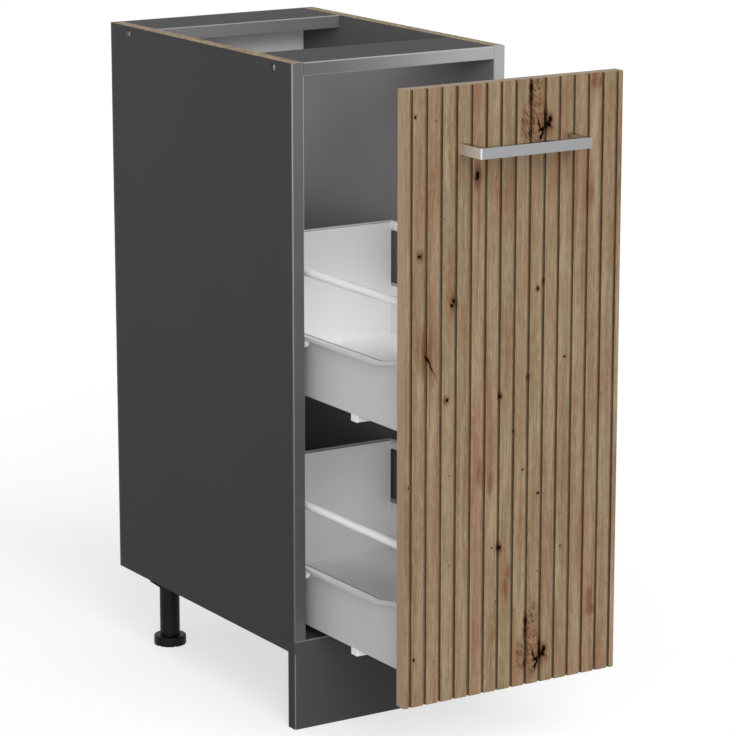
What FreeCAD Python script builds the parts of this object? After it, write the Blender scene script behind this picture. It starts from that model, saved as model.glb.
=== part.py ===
import FreeCAD, Part
import math
import os

import Sketcher

# Pull-out pantry base cabinet, 300 mm wide, with one front that carries two metal-sided drawers.
# Frame: X across the width, Y from the carcass front to its back, Z up from the floor.
# The pull-out is drawn open by open_rest, so it slides along -Y to open and along +Y to close.

# Driving dimensions in millimetres
DIMENSIONS = {
    # Carcass boards
    "width": 300,
    "height": 816,
    "board": 16,
    "side_depth": 447,
    "back_sheet": 3,
    "plinth_height": 96,
    "edge_band": 2,
    "band_round": 1.6,
    "front_rail_depth": 100,
    "rear_rail_depth": 90,
    # Clearances
    "fit": 0.05,
    "running": 0.3,
    # Screws that join the boards
    "confirmat_shank": 5,
    "confirmat_length": 46,
    "confirmat_head": 7,
    "confirmat_head_height": 3,
    "confirmat_recess": 10,
    "confirmat_sink": 2,
    "confirmat_socket": 4.6,
    "confirmat_socket_depth": 2,
    "confirmat_drop": 10,
    "confirmat_inset": 44,
    "dowel_diameter": 8,
    "dowel_length": 30,
    "dowel_depth": 10,
    "dowel_spacing": 32,
    # Cross recess in the heads of the other screws
    "cross_reach": 4.4,
    "cross_slot": 1,
    "cross_depth": 0.6,
    # Nails of the back sheet
    "nail_shank": 1.6,
    "nail_length": 18,
    "nail_head": 5,
    "nail_head_height": 0.8,
    "nail_margin": 30,
    "nail_count": 5,
    # Plinth brackets and small wood screws
    "bracket_width": 30,
    "bracket_leg": 40,
    "bracket_sheet": 2,
    "bracket_hole": 24,
    "bracket_from_side": 60,
    "wood_screw_shank": 3.5,
    "wood_screw_length": 11,
    "wood_screw_head": 7,
    "wood_screw_head_height": 1.6,
    # Rear legs
    "leg_from_side": 38,
    "leg_from_rear": 62,
    "leg_plate": 56,
    "leg_plate_thickness": 4,
    "leg_column": 26,
    "leg_screw_circle": 42,
    "leg_screw_count": 4,
    "leg_rib": 3,
    "leg_rib_drop": 15,
    "leg_rib_tip": 4,
    "leg_rib_count": 4,
    "foot_diameter": 42,
    "foot_height": 12,
    "foot_round": 1.5,
    "foot_scallop": 5,
    "foot_scallop_count": 6,
    "foot_turn": 40,
    "stem_diameter": 10,
    "stem_length": 46,
    # Cabinet runners
    "runner_sheet": 1.2,
    "runner_reach": 10.8,
    "runner_inset": 4,
    "runner_length": 436,
    "runner_nose": 26,
    "runner_screw_shank": 3.5,
    "runner_screw_length": 12,
    "runner_screw_head": 7,
    "runner_screw_head_height": 0.8,
    "runner_screw_front": 64,
    "runner_screw_rear": 352,
    # Rollers and their pins
    "roller_diameter": 13,
    "roller_width": 5.6,
    "roller_bevel": 0.8,
    "roller_from_nose": 10,
    "channel_drop": 6,
    "pin_diameter": 4,
    "pin_head": 7,
    "pin_head_height": 0.8,
    # Pull-out travel
    "open_rest": 226,
    "closed_gap": 2,
    "rear_clear": 3,
    # Drawer sides
    "runner_space": 13.3,
    "side_sheet": 1.2,
    "side_height": 76,
    "floor_flange": 12,
    "rim_reach": 8.9,
    "rim_lip": 4,
    "ramp_rise": 8.5,
    "ramp_start": 34,
    "ramp_length": 45,
    "drawer_clear": 12,
    "drawer_pitch": 287,
    # Drawer boards
    "floor_board": 12,
    "drawer_back": 12,
    "drawer_back_height": 158,
    "cross_bar_width": 13,
    "cross_bar_height": 9,
    "cross_bar_from_front": 131,
    "floor_screw_inset": 6,
    "floor_screw_margin": 60,
    "back_screw_height": 24,
    # Gallery rails
    "gallery_diameter": 10,
    "gallery_wall": 1,
    "gallery_height": 153,
    "gallery_offset": 4,
    "cup_wall": 1.2,
    "cup_length": 12,
    "cup_floor": 2,
    "cup_dowel": 8,
    "cup_dowel_length": 9,
    # Brackets between the drawer sides and the front
    "clip_sheet": 1.5,
    "clip_reach": 20,
    "clip_leg": 36,
    "clip_bottom": 20,
    "clip_height": 48,
    "clip_screw_margin": 10,
    # Front
    "front_reveal": 1.5,
    "front_thickness": 16,
    "front_gap": 1,
    "groove_count": 15,
    "groove_width": 4,
    "groove_depth": 3,
    "groove_margin": 8,
    "bumper_diameter": 8,
    "bumper_height": 1.7,
    "bumper_margin": 40,
    # Handle
    "handle_length": 152,
    "handle_standoff": 43,
    "handle_bar": 9,
    "handle_height": 12.5,
    "handle_drop": 72,
    "handle_corner": 2,
    "handle_screw_shank": 4,
    "handle_screw_length": 26,
    "handle_screw_head": 8,
    "handle_screw_head_height": 2.4,
}

doc = FreeCAD.newDocument("pull_out_cabinet")
sheet = doc.addObject("Spreadsheet::Sheet", "dims")
for row, (alias, value) in enumerate(DIMENSIONS.items(), start=1):
    sheet.set(f"A{row}", alias)
    sheet.set(f"B{row}", str(value))
    sheet.setAlias(f"B{row}", alias)
doc.recompute()

# Places that several pieces share, as expressions of the sheet's cells
HALF = "dims.width / 2"
INNER = "(dims.width / 2 - dims.board)"
FLOOR = "0"
CARCASS_FRONT = "0"
BOARD_FRONT = "dims.edge_band"
CARCASS_REAR = "dims.side_depth"
PLINTH_TOP = "dims.plinth_height"
BASE_TOP = "(dims.plinth_height + dims.board)"
RAIL_LOW = "(dims.height - dims.board)"
CONFIRMAT_DEPTH = "(dims.confirmat_head_height + dims.confirmat_sink)"
TOP = "dims.height"
REAR_RAIL_FRONT = "(dims.side_depth - dims.rear_rail_depth)"
LEG_X = "(dims.width / 2 - dims.leg_from_side)"
LEG_Y = "(dims.side_depth - dims.leg_from_rear)"
BRACKET_X = "(dims.width / 2 - dims.bracket_from_side)"
WALL_OUT = "(dims.width / 2 - dims.board - dims.runner_space)"
WALL_IN = "(dims.width / 2 - dims.board - dims.runner_space - dims.side_sheet)"
WEB_IN = "(dims.width / 2 - dims.board - dims.runner_sheet)"
FRONT_BACK = "(-dims.open_rest)"
FRONT_FACE = "(-dims.open_rest - dims.front_thickness)"
DRAWER_REAR = "(dims.side_depth - dims.open_rest + dims.closed_gap - dims.rear_clear)"
BACK_FRONT = "(dims.side_depth - dims.open_rest + dims.closed_gap - dims.rear_clear - dims.drawer_back)"
FRONT_HALF = "(dims.width / 2 - dims.front_reveal)"
FRONT_LOW = "(dims.plinth_height + dims.front_gap)"
FRONT_HIGH = "(dims.height - dims.front_gap)"
HANDLE_Z = "(dims.height - dims.front_gap - dims.handle_drop)"
HANDLE_X = "(dims.handle_length / 2 - dims.handle_bar / 2)"
GALLERY_X = f"({WALL_IN} + dims.gallery_offset)"
CUP_RADIUS = "(dims.gallery_diameter / 2 + dims.fit + dims.cup_wall)"
ROLLER_Y = "(dims.runner_inset + dims.roller_from_nose)"
ROLLER_RADIUS = "(dims.roller_diameter / 2)"

LOWER_BASE = "(dims.plinth_height + dims.board + dims.drawer_clear)"
DRAWERS = {
    "upper": f"({LOWER_BASE} + dims.drawer_pitch)",
    "lower": LOWER_BASE,
}

DIRECTIONS = {
    "+X": FreeCAD.Vector(1, 0, 0),
    "-X": FreeCAD.Vector(-1, 0, 0),
    "+Y": FreeCAD.Vector(0, 1, 0),
    "-Y": FreeCAD.Vector(0, -1, 0),
    "+Z": FreeCAD.Vector(0, 0, 1),
    "-Z": FreeCAD.Vector(0, 0, -1),
}
OPPOSITE = {"+": "-", "-": "+"}
SAME_PLACE = 1e-4

nodes = []


def node(piece, label):
    """Keeps a finished sub-part under its own label."""
    piece.Label = label
    nodes.append(piece)
    return piece


def place(piece, at):
    for letter, text in zip("xyz", at):
        piece.setExpression(f"Placement.Base.{letter}", text)


def along(at, direction, distance):
    """The point that lies a distance further along a direction."""
    moved = list(at)
    index = "XYZ".index(direction[1])
    moved[index] = f"{at[index]} {direction[0]} ({distance})"
    return tuple(moved)


def box(name, low, high):
    block = doc.addObject("Part::Box", name)
    for size, start, end in zip(("Length", "Width", "Height"), low, high):
        block.setExpression(size, f"({end}) - ({start})")
    place(block, low)
    return block


def cylinder(name, at, direction, radius, length):
    rod = doc.addObject("Part::Cylinder", name)
    turn = FreeCAD.Rotation(DIRECTIONS["+Z"], DIRECTIONS[direction])
    rod.Placement = FreeCAD.Placement(FreeCAD.Vector(), turn)
    rod.setExpression("Radius", radius)
    rod.setExpression("Height", length)
    place(rod, at)
    return rod


def fuse(name, pieces):
    joined = doc.addObject("Part::MultiFuse", name)
    joined.Shapes = pieces
    return joined


def group(name, pieces):
    bundle = doc.addObject("Part::Compound", name)
    bundle.Links = pieces
    return bundle


def cut(name, base, tools):
    carved = doc.addObject("Part::Cut", name)
    carved.Base = base
    carved.Tool = group(f"{name}_tools", tools)
    return carved


def mirror(name, source):
    """The left-hand twin of a right-hand piece."""
    twin = doc.addObject("Part::Mirroring", name)
    twin.Source = source
    twin.Normal = DIRECTIONS["+X"]
    return twin


def pair(name, right):
    """A right-hand group with its left-hand twin."""
    return group(name, [right, mirror(f"{name}_left", right)])


def socket_drive(name, top, direction):
    """The hexagon socket in a confirmat's head."""
    prism = doc.addObject("Part::Prism", f"{name}_socket")
    prism.Polygon = 6
    turn = FreeCAD.Rotation(DIRECTIONS["+Z"], DIRECTIONS[direction])
    prism.Placement = FreeCAD.Placement(FreeCAD.Vector(), turn)
    prism.setExpression("Circumradius", "dims.confirmat_socket / 2")
    prism.setExpression("Height", "dims.confirmat_socket_depth")
    place(prism, top)
    return [prism]


def cross_drive(name, top, direction):
    """The two slots of the cross recess in a screw's head."""
    depth_axis = "XYZ".index(direction[1])
    ends = [top[depth_axis], along(top, direction, "dims.cross_depth")[depth_axis]]
    if direction[0] == "-":
        ends.reverse()
    slots = []
    for reach_axis in {0, 1, 2} - {depth_axis}:
        halves = ["dims.cross_slot / 2"] * 3
        halves[reach_axis] = "dims.cross_reach / 2"
        low = [f"{middle} - {half}" for middle, half in zip(top, halves)]
        high = [f"{middle} + {half}" for middle, half in zip(top, halves)]
        low[depth_axis], high[depth_axis] = ends
        slots.append(box(f"{name}_slot_{reach_axis}", low, high))
    return slots


DRIVES = {
    "confirmat": socket_drive,
    "wood_screw": cross_drive,
    "runner_screw": cross_drive,
    "handle_screw": cross_drive,
}


def screw(name, kind, seat, direction):
    """A screw or nail whose head lies on its seat and whose shank runs along the direction."""
    away = OPPOSITE[direction[0]] + direction[1]
    head = cylinder(f"{name}_head", seat, away, f"dims.{kind}_head / 2", f"dims.{kind}_head_height")
    shank = cylinder(f"{name}_shank", seat, direction, f"dims.{kind}_shank / 2", f"dims.{kind}_length")
    blank = fuse(name, [head, shank])
    if kind not in DRIVES:
        return blank
    top = along(seat, away, f"dims.{kind}_head_height")
    return cut(f"{name}_driven", blank, DRIVES[kind](name, top, direction))


def screw_hole(name, kind, seat, direction):
    """The hole for a screw's shank."""
    return cylinder(name, seat, direction, f"dims.{kind}_shank / 2 + dims.fit",
                    f"dims.{kind}_length + dims.fit")


def confirmat_recess(name, seat, direction):
    """The wider hole that a confirmat's head is sunk in."""
    away = OPPOSITE[direction[0]] + direction[1]
    return cylinder(name, seat, away, "dims.confirmat_recess / 2", CONFIRMAT_DEPTH)


def new_body(name):
    return doc.addObject("PartDesign::Body", name)


def origin_feature(body, role):
    for feature in body.Origin.OriginFeatures:
        if feature.Role == role:
            return feature
    raise LookupError(role)


def attached_sketch(body, name, role, offset):
    sketch = body.newObject("Sketcher::SketchObject", name)
    sketch.AttachmentSupport = [(origin_feature(body, role), "")]
    sketch.MapMode = "FlatFace"
    sketch.setExpression("AttachmentOffset.Base.z", offset)
    return sketch


def outline(body, name, role, points, offset="0"):
    """A closed outline whose corners are held at their places by the sheet."""
    sketch = attached_sketch(body, name, role, offset)
    count = len(points)
    turn = 2 * math.pi / count
    drafts = [FreeCAD.Vector(math.cos(turn * i), math.sin(turn * i), 0) for i in range(count)]
    for i in range(count):
        sketch.addGeometry(Part.LineSegment(drafts[i], drafts[(i + 1) % count]), False)
    for i in range(count):
        sketch.addConstraint(Sketcher.Constraint("Coincident", i, 2, (i + 1) % count, 1))
    for i, (across, up) in enumerate(points):
        for kind, text, draft in (("DistanceX", across, drafts[i].x), ("DistanceY", up, drafts[i].y)):
            number = sketch.addConstraint(Sketcher.Constraint(kind, -1, 1, i, 1, draft))
            sketch.setExpression(f"Constraints[{number}]", text)
    return sketch


def rectangle(low, high):
    """The corners of an upright rectangle."""
    return [low, (high[0], low[1]), high, (low[0], high[1])]


def pad(body, name, role, points, length, offset="0"):
    sketch = outline(body, f"{name}_sketch", role, points, offset)
    feature = body.newObject("PartDesign::Pad", name)
    feature.Profile = sketch
    feature.setExpression("Length", length)
    return feature


def revolve(body, name, role, points, axis, offset="0"):
    sketch = outline(body, f"{name}_sketch", role, points, offset)
    feature = body.newObject("PartDesign::Revolution", name)
    feature.Profile = sketch
    feature.ReferenceAxis = (sketch, [axis])
    feature.Angle = 360
    return feature


# Joints between the boards, on the right-hand side
def board_joints():
    """Sunk screws and dowels at the ends of the rails and under the side panel."""
    screws = []
    screw_holes = []
    dowels = []
    dowel_holes = []
    side_middle = f"({INNER} + dims.board / 2)"
    from_rear = "dims.side_depth - dims.confirmat_inset"
    rail_height = "dims.height - dims.confirmat_drop"
    spots = {
        "front_rail": ((HALF, "dims.confirmat_inset", rail_height), "-X"),
        "rear_rail": ((HALF, from_rear, rail_height), "-X"),
        "front_base": ((side_middle, "dims.confirmat_inset", PLINTH_TOP), "+Z"),
        "rear_base": ((side_middle, from_rear, PLINTH_TOP), "+Z"),
    }
    for spot, (surface, direction) in spots.items():
        seat = along(surface, direction, CONFIRMAT_DEPTH)
        screws.append(screw(f"{spot}_confirmat", "confirmat", seat, direction))
        screw_holes.append(screw_hole(f"{spot}_confirmat_hole", "confirmat", seat, direction))
        screw_holes.append(confirmat_recess(f"{spot}_confirmat_recess", seat, direction))
        inwards = "+Y" if spot.startswith("front") else "-Y"
        beside = along(surface, inwards, "dims.dowel_spacing")
        start = along(beside, direction, "dims.board - dims.dowel_depth")
        radius = "dims.dowel_diameter / 2"
        dowels.append(cylinder(f"{spot}_dowel", start, direction, radius, "dims.dowel_length"))
        early = along(start, OPPOSITE[direction[0]] + direction[1], "dims.fit")
        dowel_holes.append(cylinder(f"{spot}_dowel_hole", early, direction, f"{radius} + dims.fit",
                                    "dims.dowel_length + 2 * dims.fit"))
    return screws, screw_holes, dowels, dowel_holes


def runner_levels(base):
    """Heights that a drawer's runner takes from the drawer's lowest edge."""
    rim_under = f"({base} + dims.side_height - dims.side_sheet)"
    roller = f"({rim_under} - dims.running - {ROLLER_RADIUS})"
    channel = f"({roller} - dims.channel_drop)"
    return rim_under, roller, channel


def runner_seats(base):
    """Where the runner's screws sit on its web."""
    channel = runner_levels(base)[2]
    return {
        "front": (WEB_IN, "dims.runner_inset + dims.runner_screw_front", channel),
        "rear": (WEB_IN, "dims.runner_inset + dims.runner_screw_rear", channel),
    }


confirmats, confirmat_holes, dowels, dowel_holes = board_joints()
joint_holes = confirmat_holes + dowel_holes
joint_holes_left = mirror("joint_holes_left", group("joint_holes_right", joint_holes))


def runner_screw_holes(host):
    holes = []
    for level, base in DRAWERS.items():
        for spot, seat in runner_seats(base).items():
            holes.append(screw_hole(f"{host}_{level}_{spot}_hole", "runner_screw", seat, "+X"))
    return holes


def nail_seats():
    """Where the nails sit along the right-hand rear edge."""
    count = int(sheet.get("nail_count"))
    seats = []
    for i in range(count):
        share = i / (count - 1)
        span = "(dims.height - dims.plinth_height - dims.board - 2 * dims.nail_margin)"
        height = f"{BASE_TOP} + dims.nail_margin + {span} * {share}"
        seats.append((f"{INNER} + dims.board / 2", "dims.side_depth + dims.back_sheet", height))
    return seats


# Carcass boards
nail_holes = [screw_hole(f"nail_hole_{i}", "nail", seat, "-Y") for i, seat in enumerate(nail_seats())]
side_blank = box("side_blank", (INNER, BOARD_FRONT, BASE_TOP), (HALF, CARCASS_REAR, TOP))
side_right = cut("side_right", side_blank, joint_holes + runner_screw_holes("side") + nail_holes)
node(side_right, "side_panel_right")
node(mirror("side_left", side_right), "side_panel_left")

PLINTH_BRACKET_TOP = "dims.plinth_height - dims.bracket_sheet"
PLINTH_BRACKET_FRONT = "dims.board + dims.bracket_sheet"
bracket_seats = {
    "base": ((BRACKET_X, "dims.board + dims.bracket_hole", PLINTH_BRACKET_TOP), "+Z"),
    "plinth": ((BRACKET_X, PLINTH_BRACKET_FRONT,
                "dims.plinth_height - dims.bracket_hole"), "-Y"),
}
bracket_holes = {
    spot: screw_hole(f"bracket_{spot}_hole", "wood_screw", *seat) for spot, seat in bracket_seats.items()
}


def leg_screw_seats():
    count = int(sheet.get("leg_screw_count"))
    seats = []
    for i in range(count):
        angle = 2 * math.pi * (i + 0.5) / count
        x = f"{LEG_X} + dims.leg_screw_circle / 2 * {math.cos(angle)}"
        y = f"{LEG_Y} + dims.leg_screw_circle / 2 * {math.sin(angle)}"
        seats.append((x, y, "dims.plinth_height - dims.leg_plate_thickness"))
    return seats


leg_holes = [screw_hole(f"leg_hole_{i}", "wood_screw", seat, "+Z")
             for i, seat in enumerate(leg_screw_seats())]
base_holes = group("base_holes", [bracket_holes["base"]] + leg_holes)
base_blank = box("base_blank", (f"-{HALF}", BOARD_FRONT, PLINTH_TOP), (HALF, CARCASS_REAR, BASE_TOP))
base_tools = joint_holes + [joint_holes_left, base_holes, mirror("base_holes_left", base_holes)]
node(cut("base_cut", base_blank, base_tools), "bottom_panel")

front_rail_blank = box("front_rail_blank", (f"-{INNER}", BOARD_FRONT, RAIL_LOW),
                       (INNER, "dims.front_rail_depth", TOP))
node(cut("front_rail_cut", front_rail_blank, joint_holes + [joint_holes_left]), "top_rail_front")
rear_rail_blank = box("rear_rail_blank", (f"-{INNER}", REAR_RAIL_FRONT, RAIL_LOW),
                      (INNER, CARCASS_REAR, TOP))
node(cut("rear_rail_cut", rear_rail_blank, joint_holes + [joint_holes_left]), "top_rail_rear")

back_blank = box("back_blank", (f"-{HALF}", CARCASS_REAR, PLINTH_TOP),
                 (HALF, "dims.side_depth + dims.back_sheet", TOP))
nail_holes_left = mirror("nail_holes_left", group("nail_holes_right", nail_holes))
node(cut("back_cut", back_blank, nail_holes + [nail_holes_left]), "back_panel")
nails = [screw(f"nail_{i}", "nail", seat, "-Y") for i, seat in enumerate(nail_seats())]
node(pair("nail_pair", group("nails_right", nails)), "back_nails")

plinth_blank = box("plinth_blank", (f"-{HALF}", CARCASS_FRONT, FLOOR), (HALF, "dims.board", PLINTH_TOP))
plinth_hole_left = mirror("plinth_hole_left", bracket_holes["plinth"])
node(cut("plinth_cut", plinth_blank, [bracket_holes["plinth"], plinth_hole_left]), "plinth_panel")


def band(name, low, high):
    """An edge band whose two long front edges are rounded."""
    body = new_body(name)
    plan = rectangle(low[:2], high[:2])
    blank = pad(body, f"{name}_blank", "XY_Plane", plan, f"({high[2]}) - ({low[2]})", low[2])
    doc.recompute()
    front_edges = [
        f"Edge{number}" for number, edge in enumerate(blank.Shape.Edges, start=1)
        if edge.BoundBox.YMax < SAME_PLACE and edge.Length > sheet.get("board") + SAME_PLACE
    ]
    rounding = body.newObject("PartDesign::Fillet", f"{name}_rounding")
    rounding.Base = (blank, front_edges)
    rounding.setExpression("Radius", "dims.band_round")
    body.Tip = rounding
    return body


band_right = band("band_right", (INNER, CARCASS_FRONT, BASE_TOP), (HALF, BOARD_FRONT, TOP))
band_base = band("band_base", (f"-{HALF}", CARCASS_FRONT, PLINTH_TOP), (HALF, BOARD_FRONT, BASE_TOP))
band_rail = band("band_rail", (f"-{INNER}", CARCASS_FRONT, RAIL_LOW), (INNER, BOARD_FRONT, TOP))
bands = [band_right, mirror("band_left", band_right), band_base, band_rail]
node(group("bands", bands), "edge_bands")

node(pair("confirmat_pair", group("confirmats_right", confirmats)), "confirmat_screws")
node(pair("dowel_pair", group("dowels_right", dowels)), "dowels")

# Plinth brackets
BRACKET_LOW_X = f"{BRACKET_X} - dims.bracket_width / 2"
BRACKET_HIGH_X = f"{BRACKET_X} + dims.bracket_width / 2"
bracket_top = box("bracket_top", (BRACKET_LOW_X, "dims.board", PLINTH_BRACKET_TOP),
                  (BRACKET_HIGH_X, "dims.board + dims.bracket_leg", PLINTH_TOP))
bracket_drop = box("bracket_drop", (BRACKET_LOW_X, "dims.board", "dims.plinth_height - dims.bracket_leg"),
                   (BRACKET_HIGH_X, PLINTH_BRACKET_FRONT, PLINTH_TOP))
bracket_blank = fuse("bracket_blank", [bracket_top, bracket_drop])
bracket_right = cut("bracket_right", bracket_blank, list(bracket_holes.values()))
node(pair("bracket_pair", bracket_right), "plinth_brackets")
bracket_screws = [screw(f"bracket_{spot}_screw", "wood_screw", *seat)
                  for spot, seat in bracket_seats.items()]
node(pair("bracket_screw_pair", group("bracket_screws_right", bracket_screws)), "plinth_bracket_screws")


# Rear legs with adjustable feet
def ring_of(body, name, feature, count):
    """Repeats a feature evenly around the body's upright axis."""
    ring = body.newObject("PartDesign::PolarPattern", name)
    ring.Originals = [feature]
    ring.Axis = (origin_feature(body, "Z_Axis"), [""])
    ring.Angle = 360
    ring.setExpression("Occurrences", count)
    body.Tip = ring


def leg(name):
    """A hollow column under a round plate, with ribs between the plate's screws."""
    body = new_body(name)
    bore = "dims.stem_diameter / 2 + dims.fit"
    low = "dims.foot_height + dims.running"
    bore_top = "dims.foot_height + dims.stem_length + dims.running"
    neck = "dims.plinth_height - dims.leg_plate_thickness"
    profile = [
        (bore, low), ("dims.leg_column / 2", low), ("dims.leg_column / 2", neck),
        ("dims.leg_plate / 2", neck), ("dims.leg_plate / 2", PLINTH_TOP), ("0", PLINTH_TOP),
        ("0", bore_top), (bore, bore_top),
    ]
    revolve(body, f"{name}_turned", "XZ_Plane", profile, "V_Axis")
    rib_root = "dims.leg_column / 2 - dims.leg_rib"
    rib = pad(body, f"{name}_rib", "XZ_Plane", [
        (rib_root, f"{neck} - dims.leg_rib_drop"), ("dims.leg_column / 2", f"{neck} - dims.leg_rib_drop"),
        ("dims.leg_plate / 2", f"{neck} - dims.leg_rib_tip"), ("dims.leg_plate / 2", PLINTH_TOP),
        (rib_root, PLINTH_TOP),
    ], "dims.leg_rib", "-dims.leg_rib / 2")
    doc.recompute()
    ring_of(body, f"{name}_ribs", rib, "dims.leg_rib_count")
    place(body, (LEG_X, LEG_Y, "0"))
    return body


def foot(name):
    """A round knob with a rounded top edge and finger notches, on a stem that runs in the leg."""
    body = new_body(name)
    stem_top = "dims.foot_height + dims.stem_length"
    profile = [
        ("0", "0"), ("dims.foot_diameter / 2", "0"), ("dims.foot_diameter / 2", "dims.foot_height"),
        ("dims.stem_diameter / 2", "dims.foot_height"), ("dims.stem_diameter / 2", stem_top),
        ("0", stem_top),
    ]
    knob = revolve(body, f"{name}_turned", "XZ_Plane", profile, "V_Axis")
    doc.recompute()
    top_rim = [
        f"Edge{number}" for number, edge in enumerate(knob.Shape.Edges, start=1)
        if edge.BoundBox.XMax > sheet.get("stem_diameter") / 2 + SAME_PLACE
        and abs(edge.BoundBox.ZMin - sheet.get("foot_height")) < SAME_PLACE
    ]
    rounding = body.newObject("PartDesign::Fillet", f"{name}_rounding")
    rounding.Base = (knob, top_rim)
    rounding.setExpression("Radius", "dims.foot_round")
    body.Tip = rounding
    doc.recompute()
    plain_volume = body.Shape.Volume
    sketch = attached_sketch(body, f"{name}_scallop_sketch", "XY_Plane", "0")
    sketch.addGeometry(Part.Circle(FreeCAD.Vector(1, 0, 0), DIRECTIONS["+Z"], 1), False)
    sketch.addConstraint(Sketcher.Constraint("PointOnObject", 0, 3, -1))
    across = sketch.addConstraint(Sketcher.Constraint("DistanceX", -1, 1, 0, 3, 1.0))
    sketch.setExpression(f"Constraints[{across}]", "dims.foot_diameter / 2 + dims.foot_scallop / 4")
    size = sketch.addConstraint(Sketcher.Constraint("Radius", 0, 1.0))
    sketch.setExpression(f"Constraints[{size}]", "dims.foot_scallop / 2")
    pocket = body.newObject("PartDesign::Pocket", f"{name}_scallop")
    pocket.Profile = sketch
    pocket.Reversed = True
    pocket.setExpression("Length", "dims.foot_height")
    doc.recompute()
    if body.Shape.Volume >= plain_volume:
        raise RuntimeError("the foot's scallop cuts nothing")
    ring_of(body, f"{name}_scallops", pocket, "dims.foot_scallop_count")
    turn = FreeCAD.Rotation(DIRECTIONS["+Z"], sheet.get("foot_turn"))
    body.Placement = FreeCAD.Placement(FreeCAD.Vector(), turn)
    place(body, (LEG_X, LEG_Y, "0"))
    return body


leg_right = cut("leg_right", leg("leg_body"), leg_holes)
node(leg_right, "leg_right")
node(mirror("leg_left", leg_right), "leg_left")
foot_right = foot("foot_body")
node(foot_right, "foot_right")
node(mirror("foot_left_twin", foot_right), "foot_left")
leg_screws = [screw(f"leg_screw_{i}", "wood_screw", seat, "+Z") for i, seat in enumerate(leg_screw_seats())]
node(pair("leg_screw_pair", group("leg_screws_right", leg_screws)), "leg_screws")


# Cabinet runners: a C channel for the drawer's rear roller and a nose for the front roller
def runner(name, base):
    rim_under, roller, channel = runner_levels(base)
    opening = f"({ROLLER_RADIUS} + dims.running)"
    low = f"{channel} - {opening} - dims.runner_sheet"
    high = f"{channel} + {opening} + dims.runner_sheet"
    front = "dims.runner_inset"
    lips_front = "dims.runner_inset + dims.runner_nose"
    rear = "dims.runner_inset + dims.runner_length"
    reach = "dims.runner_reach"
    lip_start = f"{INNER} - dims.runner_reach"
    body = new_body(name)
    web = [(front, low), (rear, low), (rear, high), (lips_front, high), (lips_front, rim_under),
           (front, rim_under)]
    pad(body, f"{name}_web", "YZ_Plane", web, "dims.runner_sheet", WEB_IN)
    lower_lip = rectangle((lips_front, low), (rear, f"{low} + dims.runner_sheet"))
    pad(body, f"{name}_lower_lip", "YZ_Plane", lower_lip, reach, lip_start)
    upper_lip = rectangle((lips_front, f"{high} - dims.runner_sheet"), (rear, high))
    pad(body, f"{name}_upper_lip", "YZ_Plane", upper_lip, reach, lip_start)
    holes = [screw_hole(f"{name}_{spot}_hole", "runner_screw", seat, "+X")
             for spot, seat in runner_seats(base).items()]
    return cut(f"{name}_drilled", body, holes)


def roller(name, start):
    """A roller with bevelled edges, turned about X, with its inner end at the start point."""
    body = new_body(name)
    bore = "dims.pin_diameter / 2 + dims.fit"
    bevelled = f"{ROLLER_RADIUS} - dims.roller_bevel"
    wide = "dims.roller_width"
    profile = [
        ("0", bore), (wide, bore), (wide, bevelled), (f"{wide} - dims.roller_bevel", ROLLER_RADIUS),
        ("dims.roller_bevel", ROLLER_RADIUS), ("0", bevelled),
    ]
    revolve(body, f"{name}_turned", "XZ_Plane", profile, "H_Axis")
    place(body, start)
    return body


# The rim's lip guides the cabinet roller, which stops just short of it
CABINET_ROLLER_X = f"({WALL_OUT} + dims.rim_reach - dims.side_sheet - dims.running - dims.roller_width)"
DRAWER_ROLLER_X = f"({WEB_IN} - 2 * dims.pin_head_height - 2 * dims.running - dims.roller_width)"
DRAWER_ROLLER_Y = f"({DRAWER_REAR} - dims.roller_diameter)"

cabinet_pins = []
drawer_pins = []
runner_screws = []
for level, base in DRAWERS.items():
    rim_under, roller_height, channel = runner_levels(base)
    runner_right = runner(f"{level}_runner", base)
    node(runner_right, f"{level}_runner_right")
    node(mirror(f"{level}_runner_twin", runner_right), f"{level}_runner_left")
    for spot, seat in runner_seats(base).items():
        runner_screws.append(screw(f"{level}_{spot}_runner_screw", "runner_screw", seat, "+X"))

    cabinet_start = (CABINET_ROLLER_X, ROLLER_Y, roller_height)
    cabinet_roller = roller(f"{level}_cabinet_roller", cabinet_start)
    node(cabinet_roller, f"{level}_cabinet_roller_right")
    node(mirror(f"{level}_cabinet_roller_twin", cabinet_roller), f"{level}_cabinet_roller_left")
    pin_end = along(cabinet_start, "-X", "dims.running")
    pin_head = cylinder(f"{level}_cabinet_pin_head", pin_end, "-X", "dims.pin_head / 2",
                        "dims.pin_head_height")
    pin_rod = cylinder(f"{level}_cabinet_pin_rod", pin_end, "+X", "dims.pin_diameter / 2",
                       f"{WEB_IN} - ({pin_end[0]})")
    cabinet_pins.append(fuse(f"{level}_cabinet_pin", [pin_head, pin_rod]))

    drawer_start = (DRAWER_ROLLER_X, DRAWER_ROLLER_Y, channel)
    drawer_roller = roller(f"{level}_drawer_roller", drawer_start)
    node(drawer_roller, f"{level}_drawer_roller_right")
    node(mirror(f"{level}_drawer_roller_twin", drawer_roller), f"{level}_drawer_roller_left")
    rod_start = (WALL_OUT, DRAWER_ROLLER_Y, channel)
    rod_end = along(drawer_start, "+X", "dims.roller_width + dims.running")
    drawer_rod = cylinder(f"{level}_drawer_pin_rod", rod_start, "+X", "dims.pin_diameter / 2",
                          f"{rod_end[0]} - {WALL_OUT}")
    drawer_head = cylinder(f"{level}_drawer_pin_head", rod_end, "+X", "dims.pin_head / 2",
                           "dims.pin_head_height")
    shoulder = cylinder(f"{level}_drawer_pin_shoulder", rod_start, "+X", "dims.pin_head / 2",
                        f"{DRAWER_ROLLER_X} - dims.running - {WALL_OUT}")
    drawer_pins.append(fuse(f"{level}_drawer_pin", [drawer_rod, drawer_head, shoulder]))

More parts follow.
